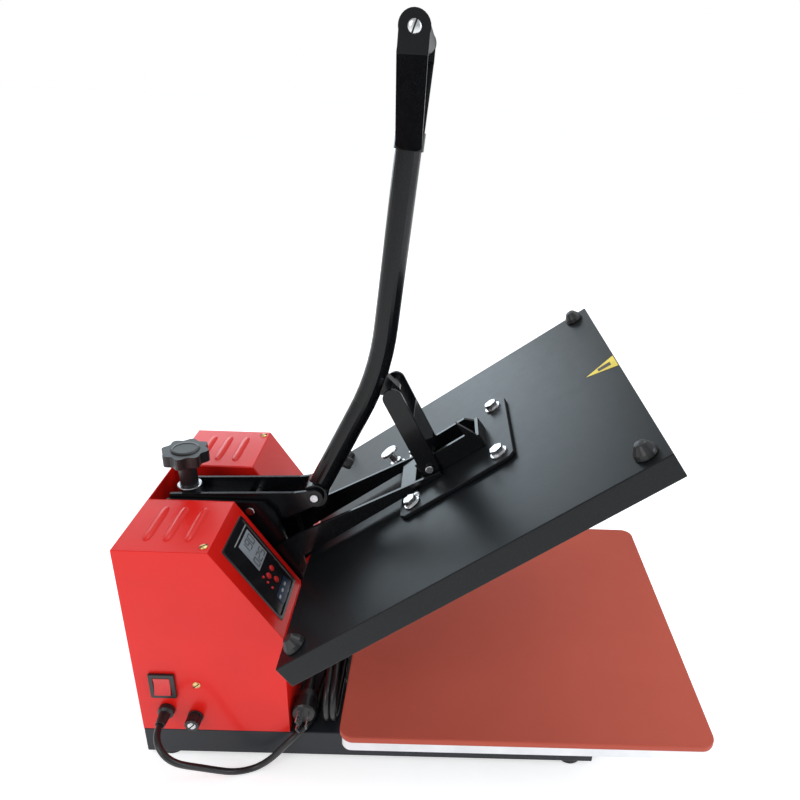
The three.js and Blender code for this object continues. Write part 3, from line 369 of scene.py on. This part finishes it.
DRESS = [
    (("near_rail", "far_rail", "mast_deck", "front_crossmember"), SLATE_ENAMEL, 1.2),
    (("rear_near_foot", "rear_far_foot", "front_near_foot", "front_far_foot"), FOOT_RUBBER, 1.0),
    (("bed_pedestal", "near_mast_plate", "far_mast_plate", "pressure_stop"), BLACK_ENAMEL, 0.8),
    (("rocker_arm", "swing_arm", "toggle_link", "link_bracket"), BLACK_ENAMEL, 0.6),
    (("mounting_plate",), PLATEN_ENAMEL, 0.8),
    (("platen_cover",), PLATEN_ENAMEL, 0.9),
    (("lever_tube", "handle_yoke"), BLACK_ENAMEL, 0.7),
    (("near_case", "far_case", "rear_shroud"), RED_ENAMEL, 1.0),
    (("lower_plate",), ALUMINIUM, 1.0),
    (("heating_plate",), ALUMINIUM, 1.5),
    (("silicone_pad",), SILICONE, 1.6),
    (("control_panel",), GLOSS_PLASTIC, 0),
    (("display_window",), LCD, 0.3),
    (("panel_button_1", "panel_button_2", "panel_button_3", "power_switch_rocker"), RED_PLASTIC, 0.3),
    (("power_switch_bezel", "fuse_holder", "cord_gland"), BLACK_PLASTIC, 0.4),
    (("fuse_cap", "pressure_knob"), BLACK_PLASTIC, 0.7),
    (("rear_near_corner_cap", "rear_far_corner_cap"), BLACK_PLASTIC, 0.8),
    (("front_near_corner_cap", "front_far_corner_cap"), BLACK_PLASTIC, 0.8),
    (("cross_grip",), GRIP_RUBBER, 1.0),
    (("hinge_shaft", "rocker_pin", "lever_bolt", "link_upper_pin", "link_lower_pin"), STEEL, 0.8),
    (("lock_collar",), STEEL, 0.8),
    (("plate_bolt_1", "plate_bolt_2", "plate_bolt_3", "plate_bolt_4"), ZINC, 0.6),
    (("control_board",), BOARD, 0.2),
    (("solid_state_relay",), RELAY_PLASTIC, 1.0),
    (("transformer",), CORE_STEEL, 0.5),
    (("mains_plug",), CORD_RUBBER, 0.6),
]
for nodes, material, bevel in DRESS:
    for node in nodes:
        dress(node, material, bevel)


# ---- Places ----
def at(x, y, z):
    """A point given in millimetres from the back of the casing, the middle plane and the table."""
    return Vector((x * MM - MIDDLE_X, y * MM, z * MM))


CASE_TOP = 276
CASE_SIDE = 131
SLOPE_DROP, SLOPE_RUN = 103.4, 67
SLOPE = math.atan2(SLOPE_DROP, SLOPE_RUN)
SLOPE_TOP = (93, CASE_TOP)
SLOPE_OUT = Vector((math.sin(SLOPE), 0, math.cos(SLOPE)))
SLOPE_DOWN = Vector((math.cos(SLOPE), 0, -math.sin(SLOPE)))


def on_slope(down, y, out=0.0):
    """A point on the casing's sloped front, in millimetres down it from its top edge."""
    return at(SLOPE_TOP[0], y, SLOPE_TOP[1]) + SLOPE_DOWN * down * MM + SLOPE_OUT * out * MM


OPEN = math.radians(35.9)
HINGE = at(87.3, 0, 105.4)
ALONG = Vector((math.cos(OPEN), 0, math.sin(OPEN)))
ABOVE = Vector((-math.sin(OPEN), 0, math.cos(OPEN)))
COVER_REAR = 123.3  # from the hinge along the cover
COVER_TOP = 29.5  # from the hinge square to the cover


def on_cover(along, y, above=0.0):
    """A point on the open platen's cover, in millimetres along it from its rear edge."""
    place = HINGE + ALONG * (COVER_REAR + along) * MM + ABOVE * (COVER_TOP + above) * MM
    return place + Vector((0, y * MM, 0))


def in_plane(origin, across, up, outward):
    """Turns a mesh drawn in x and y so that x runs along across, y along up and z along outward."""
    turn = Matrix((across, up, outward)).transposed().to_4x4()
    return Matrix.Translation(origin) @ turn


# ---- Supply lead ----
CORD_DIAMETER = 7.0
LEAD = [
    (29.5, -150.8, 70), (29.5, -153.8, 70), (29.6, -157, 70), (31, -165, 68.9), (34.5, -172.4, 66.2),
    (40.3, -178.4, 61.9), (47.3, -181.6, 56.6), (54.9, -181.6, 50.6), (62.5, -178.8, 44),
    (71, -173.8, 35.6), (80, -168, 26), (89, -162.4, 16.8), (98, -157.6, 9.4), (107, -153.6, 5.1),
    (116, -150.2, 3.7), (125, -147.8, 5.3), (134, -146, 10.2), (143, -144.8, 18), (150, -143.8, 25.6),
    (156.3, -142.4, 33), (163.6, -139.6, 39.8), (170.6, -134.4, 43.8), (176.7, -126.4, 45.2),
    (181.2, -116.6, 44.8), (183.7, -106.5, 44.2), (184.4, -96, 44), (184.4, -84, 44),
]
TAIL = [
    (184.4, 10, 84.7), (184.2, -2, 83.3), (183.2, -16, 80.3), (181, -32, 75.4), (178, -47, 69.7),
    (175.6, -60, 64.8), (174.6, -74, 62.4),
]
HANK_LANES = (192.15, 199.45, 206.75)  # middle line of each turn, across the hank
HANK_LOW = 44
HANK_FOLD = 22.5
HANK_NEAR = -103.75
HANK_FAR = 8.75
LAST_FOLD = 18.5  # the last fold passes outside the others
LAST_FOLD_RADIUS = 23.2
LAST_FOLD_DRIFT = 2.5
LAST_FOLD_END = (184.4, 0, 84.8)
FOLD_STEPS = 8
STRAIGHT_STEPS = 5
LEAD_STEPS = 4


def hank_points():
    """The turns of the hank: straight runs with a fold at each end, and the last fold back over them."""
    middle = HANK_LOW + HANK_FOLD
    way_in = ((185.6, -66), (188.4, -46), (191.2, -26), (HANK_LANES[0], -8))
    points = [(x, y, HANK_LOW) for x, y in way_in]
    fold = [math.pi * i / FOLD_STEPS for i in range(FOLD_STEPS + 1)]
    for lane, after in zip(HANK_LANES, HANK_LANES[1:]):
        for a in fold:
            points.append((lane, HANK_FAR + HANK_FOLD * math.sin(a), middle - HANK_FOLD * math.cos(a)))
        for i in range(1, STRAIGHT_STEPS):
            y = HANK_FAR + (HANK_NEAR - HANK_FAR) * i / STRAIGHT_STEPS
            points.append((lane + (after - lane) * i / STRAIGHT_STEPS, y, middle + HANK_FOLD))
        for a in fold:
            points.append((after, HANK_NEAR - HANK_FOLD * math.sin(a), middle + HANK_FOLD * math.cos(a)))
        for i in range(1, STRAIGHT_STEPS):
            y = HANK_NEAR + (HANK_FAR - HANK_NEAR) * i / STRAIGHT_STEPS
            points.append((after, y, HANK_LOW))
    start, end = Vector((HANK_LANES[-1], 0, HANK_LOW)), Vector(LAST_FOLD_END)
    centre, half = (start + end) / 2, (end - start) / 2
    for a in fold:
        place = centre - half * math.cos(a)
        y = LAST_FOLD + LAST_FOLD_RADIUS * math.sin(a) - LAST_FOLD_DRIFT * (1 + math.cos(a)) / 2
        points.append((place.x, y, place.z))
    return points


def smooth_line(points, steps):
    """A centripetal curve through the points, sampled closely."""
    places = [at(*p) for p in points]
    ends = [places[0] * 2 - places[1], *places, places[-1] * 2 - places[-2]]
    line = []
    for i in range(len(places) - 1):
        a, b, c, d = ends[i:i + 4]
        knots = [0.0]
        for p, q in ((a, b), (b, c), (c, d)):
            knots.append(knots[-1] + max((q - p).length, 1e-6) ** 0.5)
        t0, t1, t2, t3 = knots
        for k in range(steps):
            t = t1 + (t2 - t1) * k / steps
            a1 = a * ((t1 - t) / (t1 - t0)) + b * ((t - t0) / (t1 - t0))
            a2 = b * ((t2 - t) / (t2 - t1)) + c * ((t - t1) / (t2 - t1))
            a3 = c * ((t3 - t) / (t3 - t2)) + d * ((t - t2) / (t3 - t2))
            b1 = a1 * ((t2 - t) / (t2 - t0)) + a2 * ((t - t0) / (t2 - t0))
            b2 = a2 * ((t3 - t) / (t3 - t1)) + a3 * ((t - t1) / (t3 - t1))
            line.append(b1 * ((t2 - t) / (t2 - t1)) + b2 * ((t - t1) / (t2 - t1)))
    line.append(places[-1])
    return line


cord_line = smooth_line(LEAD + hank_points() + TAIL, LEAD_STEPS)
supply = tube_curve("supply_lead", cord_line, CORD_DIAMETER / 2 * MM, "frame", CORD_RUBBER)
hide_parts("supply_cord", "plug_cord", "cord_hank")


TIE_PLACE = (199.3, -47, 67)
TIE_HALF_X, TIE_HALF_Z, TIE_CORNER = 0.0131, 0.0285, 0.006
TIE_HALF_WIDTH, TIE_THICKNESS = 0.003, 0.0009


def tie_band(bm):
    """A flat band round the hank."""
    inside = rounded_outline(TIE_HALF_X, TIE_HALF_Z, TIE_CORNER, steps=4)
    rings = []
    for side, out in ((-1, 0.0), (-1, TIE_THICKNESS), (1, TIE_THICKNESS), (1, 0.0)):
        wider, taller = 1 + out / TIE_HALF_X, 1 + out / TIE_HALF_Z
        rings.append([bm.verts.new((x * wider, side * TIE_HALF_WIDTH, z * taller)) for x, z in inside])
    close_rings(bm, rings)


band = mesh_from(tie_band)
band.transform(Matrix.Translation(at(*TIE_PLACE)))
tie = add("hank_tie", band, "frame", CORD_RUBBER)


# ---- Plug ----
PLUG = (174.6, -112, 62.4)
BLADES = ((-3.4, 5.6, -0.6), (-3.4, -5.6, -0.6), (6.0, 0.0, 0.0))  # across, up and turn on the plug's face
BLADE_HALF_THICKNESS, BLADE_HALF_WIDTH = 0.9, 3.25
BLADE_ROUND_X, BLADE_ROUND_Y = 0.4, 0.55
BLADE_LENGTH = 16.7
BLADE_START = 15.1  # from the plug's middle
for number, (x, z, turn) in enumerate(BLADES, 1):
    outline = rounded_outline(BLADE_HALF_THICKNESS, BLADE_HALF_WIDTH, BLADE_ROUND_X, BLADE_ROUND_Y)
    sleeve = mesh_from(prism(in_mm(outline), BLADE_LENGTH * MM))
    sleeve.transform(Matrix.Rotation(math.pi / 2, 4, "X"))
    sleeve.transform(Matrix.Rotation(turn, 4, "Y"))
    sleeve.transform(Matrix.Translation(at(PLUG[0] + x, PLUG[1] - BLADE_START, PLUG[2] + z)))
    add(f"plug_prong_{number}", sleeve, "frame", ZINC)


# ---- Screws ----
DOME_ANGLES = (0.35, 0.7, 1.05, 1.3)
RIM_SHARE = 0.25  # of the head's height, below the dome
SLOT_REACH, SLOT_FLOOR, SLOT_RISE = 0.96, 0.62, 0.42  # of the radius, and twice of the height


def screw_head(name, material, radius, slot_width, body, place, outward, spin, height=0.4):
    """A domed head, in millimetres, with a black bar across it as the slot's painted shade. Its height is a
    share of its radius.
    """
    radius, rise = radius * MM, height * radius * MM
    profile = [(0.0, 0.0), (radius, 0.0), (radius, RIM_SHARE * rise)]
    for a in DOME_ANGLES:
        profile.append((radius * math.cos(a), RIM_SHARE * rise + (1 - RIM_SHARE) * rise * math.sin(a)))
    profile.append((0.0, rise))
    add(name, placed(mesh_from(lathe(profile)), place, outward, spin), body, material)
    half, width = radius * SLOT_REACH, slot_width * MM / 2
    outline = [(-half, -width), (half, -width), (half, width), (-half, width)]
    # The slot is not cut: a black bar through the dome gives the slot's painted shade.
    slot_shade_bar = placed(mesh_from(prism(outline, rise * SLOT_RISE)), place, outward, spin)
    slot_shade_bar.transform(Matrix.Translation(Vector(outward).normalized() * rise * SLOT_FLOOR))
    add(name + "_slot", slot_shade_bar, body, SHADOW_PLASTIC)


def case_screw(name, place, outward, spin):
    screw_head(name, BRASS, 4.2, 1.0, "frame", at(*place), outward, spin)


case_screw("near_case_top_screw", (86.6, -120.8, CASE_TOP), UP, 0.8)
case_screw("near_case_side_screw", (64.6, -CASE_SIDE, 105.8), NEAR, 0.7)
case_screw("far_case_top_screw", (86.6, 120.8, CASE_TOP), UP, 0.2)
case_screw("far_case_side_screw", (64.6, CASE_SIDE, 105.8), FAR, 1.9)
for side, y in (("near", -62), ("far", 62)):
    for level, z in (("low", 62), ("high", 250)):
        case_screw(f"{side}_case_{level}_rear_screw", (0, y, z), BACK, 0.4)


# ---- Louvres ----
LOUVRES = (26, 46, 67)
LOUVRE_SIZE = (63, 9.5, 2.2)
LOUVRE_SHIFT = 0.6
LOUVRE_Y = 83
LOUVRE_LIFT = 0.05


def louvre_hood(length, width, height):
    """A pressed hood over a slot: a long low dome, drawn in x and y."""
    def build(bm):
        rows, columns = 24, 8
        end_squareness, narrowest, side_fullness = 7, 0.02, 0.8
        grid = []
        for i in range(rows + 1):
            u = 2 * i / rows - 1
            end = math.sqrt(max(0.0, 1 - abs(u) ** end_squareness))
            row = []
            for j in range(columns + 1):
                v = 2 * j / columns - 1
                z = height * end * math.cos(v * math.pi / 2) ** side_fullness if 0 < j < columns else 0.0
                row.append(bm.verts.new((v * width / 2 * max(end, narrowest), u * length / 2, z)))
            grid.append(row)
        for a, b in zip(grid, grid[1:]):
            for j in range(columns):
                bm.faces.new((a[j], a[j + 1], b[j + 1], b[j]))
    return build


for side, sign in (("near", -1), ("far", 1)):
    for number, x in enumerate(LOUVRES, 1):
        hood = mesh_from(louvre_hood(*(size * MM for size in LOUVRE_SIZE)))
        place = at(x + LOUVRE_SHIFT, sign * LOUVRE_Y, CASE_TOP + LOUVRE_LIFT)
        hood.transform(Matrix.Translation(place))
        add(f"{side}_louvre_{number}", hood, "frame", RED_ENAMEL)


# ---- Control panel ----
def film(name, down, y, length, width, material, out=0.15, thickness=0.25, corner=0.8):
    """A thin sheet on the sloped panel, from its middle, with rounded corners."""
    outline = rounded_outline(length / 2, width / 2, corner)
    data = mesh_from(prism(in_mm(outline), thickness * MM))
    data.transform(in_plane(on_slope(down, y, out), SLOPE_DOWN, ACROSS, SLOPE_OUT))
    add(name, data, "frame", material)


def digit(name, down, y, pattern, height):
    """One seven-bar figure, upright for someone at the front of the press."""
    bar, width = 1.3, 6.2
    places = {
        "a": (-height / 2, 0, bar, width), "g": (0, 0, bar, width), "d": (height / 2, 0, bar, width),
        "f": (-height / 4, -width / 2, height / 2, bar), "b": (-height / 4, width / 2, height / 2, bar),
        "e": (height / 4, -width / 2, height / 2, bar), "c": (height / 4, width / 2, height / 2, bar),
    }
    for letter in pattern:
        x, shift, length, wide = places[letter]
        film(
            f"{name}_{letter}", down + x, y + shift, length, wide, SEGMENT,
            out=0.5, thickness=0.12, corner=0.3,
        )


WINDOW_Y = -69.5
FIGURES_Y = (-79, WINDOW_Y, -60)
UPPER_WINDOW, LOWER_WINDOW = 38.5, 57  # down the slope
UPPER_FIGURES, LOWER_FIGURES = ("bc", "abcdfg", "abcdef"), ("abcdef", "abged", "afgcd")
LABEL_Y = -74.5
LAMPS_Y = -88
LAMP = [(0.0, 0.0), (1.5, 0.0), (1.4, 0.9), (0.8, 1.5), (0.0, 1.7)]

film("panel_upper_window", UPPER_WINDOW, WINDOW_Y, 15.5, 30, LCD, out=0.25)
film("panel_lower_window", LOWER_WINDOW, WINDOW_Y, 13.5, 30, LCD, out=0.25)
film("panel_silver_line", 25, WINDOW_Y, 1.2, 44, SILVER_INK, out=0.05)
for place, (y, pattern) in enumerate(zip(FIGURES_Y, UPPER_FIGURES), 1):
    digit(f"upper_figure_{place}", UPPER_WINDOW, y, pattern, 11.0)
for place, (y, pattern) in enumerate(zip(FIGURES_Y, LOWER_FIGURES), 1):
    digit(f"lower_figure_{place}", LOWER_WINDOW, y, pattern, 9.5)
film("panel_blue_label", 105, LABEL_Y, 16, 36, BLUE_FILM, out=0.05)
film("panel_label_line", 110, LABEL_Y, 0.9, 28, SILVER_INK, out=0.32)
for number, y in enumerate((-88, -77, -66), 1):
    film(f"panel_label_mark_{number}", 102, y, 2.6, 5.5, SILVER_INK, out=0.32, thickness=0.1, corner=1.2)
for number, down in enumerate((72, 80, 88), 1):
    lamp = placed(mesh_from(lathe(in_mm(LAMP), 16)), on_slope(down, LAMPS_Y), SLOPE_OUT)
    add(f"panel_lamp_{number}", lamp, "frame", RED_PLASTIC)


# Half length and half width of each ring of the rim, and its height.
RIM_RINGS = ((50.5, 33.5, 0.0), (49.9, 32.9, 1.5), (47.2, 30.2, 1.5), (46.8, 29.8, 0.05))
RIM_CORNER = 2


def panel_rim(bm):
    """The raised black frame round the panel's opening."""
    rings = []
    for half_x, half_y, z in RIM_RINGS:
        outline = in_mm(rounded_outline(half_x, half_y, RIM_CORNER))
        rings.append([bm.verts.new((x, y, z * MM)) for x, y in outline])
    close_rings(bm, rings)


rim = mesh_from(panel_rim)
rim.transform(in_plane(on_slope(64, -80, 0.1), SLOPE_DOWN, ACROSS, SLOPE_OUT))
add("panel_rim", rim, "frame", GLOSS_PLASTIC)


# ---- Lever, grip and knob ----
LEVER_BOLT = at(176, 0, 272)
TUBE_BEND = at(248, 0, 417)
BUMPER = [(0.0, 0.0), (6.2, 0.0), (6.4, 1), (6.4, 7), (5.2, 9.5), (0.0, 10)]
BUMPER_ALONG, BUMPER_OUT = 0.0475, 0.0115  # from the lever's bolt, along and out of the tube
GRIP_X, GRIP_HALF, GRIP_Z = 283.3, 100, 734
KNOB_CAP = [(0.0, 0.0), (15.5, 0.0), (15.5, 0.6), (14.6, 1.3), (12.5, 1.5), (12, 1.0), (0.0, 0.9)]
KNOB_TOP = at(32, 0, 318)
FUSE = at(59, 0, 61)

along_tube = (TUBE_BEND - LEVER_BOLT).normalized()
out_of_tube = Vector((along_tube.z, 0, -along_tube.x))
bumper_place = LEVER_BOLT + along_tube * BUMPER_ALONG + out_of_tube * BUMPER_OUT
bumper = placed(mesh_from(lathe(in_mm(BUMPER))), bumper_place, out_of_tube)
add("lever_bumper", bumper, "lever", GRIP_RUBBER)
for side, sign, outward in (("near", -1, NEAR), ("far", 1, FAR)):
    place = at(GRIP_X, sign * GRIP_HALF, GRIP_Z)
    screw_head(f"{side}_grip_screw", ZINC, 5.4, 1.3, "lever", place, outward, 1.2, 0.45)
knob_cap = placed(mesh_from(lathe(in_mm(KNOB_CAP), 48)), KNOB_TOP, UP)
add("knob_cap", knob_cap, "knob", BLACK_PLASTIC)

fuse_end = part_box("fuse_cap")[0][1]
fuse_place = Vector((FUSE.x, fuse_end, FUSE.z))
screw_head("fuse_cap_disc", ZINC, 4.4, 1.3, "fuse_top", fuse_place, NEAR, 0.8, 0.25)


# ---- Platen ----
STUD = [
    (0.0, 0.0), (9.5, 0.0), (9.5, 1.6), (7.5, 1.8), (7.2, 7.6), (4.2, 8.2), (4.2, 19.0), (10.3, 19.6),
    (11.0, 20.4), (11.0, 22.2), (10.2, 23.0), (0.0, 23.3),
]
BUTTON_HEAD = [(0.0, 0.0), (6.6, 0.0), (6.6, 1.2), (5.8, 2.6), (3.6, 3.4), (0.0, 3.7)]
LABEL_TRIANGLE = [(0.0, 0.0), (35.0, -14.5), (35.0, 14.5)]
LABEL_MARK = [(14, -3.4), (14, 3.4), (29, 4.2), (29, -4.2)]
LABEL_ALONG, LABEL_ACROSS = 368, 8


def cover_fitting(name, profile, place):
    """A turned zinc piece that stands square to the platen's cover."""
    add(name, placed(mesh_from(lathe(in_mm(profile))), place, tuple(ABOVE)), "heater", ZINC)


def cover_sheet(name, outline, thickness, above, material):
    """A flat piece on the label's place on the cover."""
    data = mesh_from(prism(in_mm(outline), thickness * MM))
    data.transform(in_plane(on_cover(LABEL_ALONG, LABEL_ACROSS, above), ALONG, ACROSS, ABOVE))
    add(name, data, "heater", material)


cover_fitting("earth_stud", STUD, on_cover(117, 66))
cover_fitting("rear_plate_screw", BUTTON_HEAD, on_cover(151, -44, 5))
cover_sheet("hot_surface_label", LABEL_TRIANGLE, 0.25, 0.02, YELLOW_FILM)
cover_sheet("hot_surface_mark", LABEL_MARK, 0.12, 0.26, DARK_INK)


# ---- Stage ----
FLOOR_HALF = 40
FLOOR_HEIGHT = -0.0004
FLOOR_GLOW = 0.5


def make_stage():
    def plane(bm):
        corners = ((-1, -1), (1, -1), (1, 1), (-1, 1))
        bm.faces.new([bm.verts.new((x * FLOOR_HALF, y * FLOOR_HALF, FLOOR_HEIGHT)) for x, y in corners])
    look = Look("pale_floor", (0.93, 0.93, 0.93), 0.8, specular=0.1)
    look.set("Emission Color", (1, 1, 1, 1))
    look.set("Emission Strength", FLOOR_GLOW)
    look.colour_by(look.noise(3), (0.925, 0.925, 0.925), (0.935, 0.935, 0.935))
    floor = add("floor", mesh_from(plane), None, look.material)


make_stage()


def area_light(name, place, target, size, power, colour=(1, 1, 1)):
    data = bpy.data.lights.new(name, "AREA")
    data.shape = "RECTANGLE"
    data.size, data.size_y = size
    data.energy = power
    data.color = colour
    light = bpy.data.objects.new(name, data)
    aim = Vector(target) - Vector(place)
    light.matrix_world = Matrix.Translation(place) @ aim.to_track_quat("-Z", "Y").to_matrix().to_4x4()
    SCENE.collection.objects.link(light)
    light.visible_camera = False


def make_world():
    """Soft light from all round, and plain white where the camera sees past the floor."""
    world = bpy.data.worlds.new("studio")
    world.use_nodes = True
    nodes, links = world.node_tree.nodes, world.node_tree.links
    soft, white = nodes["Background"], nodes.new("ShaderNodeBackground")
    soft.inputs["Color"].default_value = (0.97, 0.985, 1.0, 1)
    soft.inputs["Strength"].default_value = 0.55
    white.inputs["Color"].default_value = (1, 1, 1, 1)
    white.inputs["Strength"].default_value = 1.0
    seen, mix = nodes.new("ShaderNodeLightPath"), nodes.new("ShaderNodeMixShader")
    links.new(seen.outputs["Is Camera Ray"], mix.inputs["Fac"])
    links.new(soft.outputs["Background"], mix.inputs[1])
    links.new(white.outputs["Background"], mix.inputs[2])
    links.new(mix.outputs["Shader"], nodes["World Output"].inputs["Surface"])
    SCENE.world = world
    SCENE.view_settings.view_transform = "Standard"


make_world()
area_light("key", (-1.2, -1.7, 1.5), (0, 0, 0.25), (0.9, 1.2), 12)
area_light("right", (1.8, -0.6, 1.1), (0, 0, 0.3), (0.3, 1.7), 14, (0.8, 0.9, 1.0))
area_light("back", (-1.15, 2.3, 0.95), (0.1, 0, 0.33), (1.5, 1.0), 15, (0.75, 0.9, 1.0))
area_light("top", (0.35, 0.9, 2.2), (0.1, 0, 0.3), (1.4, 1.4), 16)
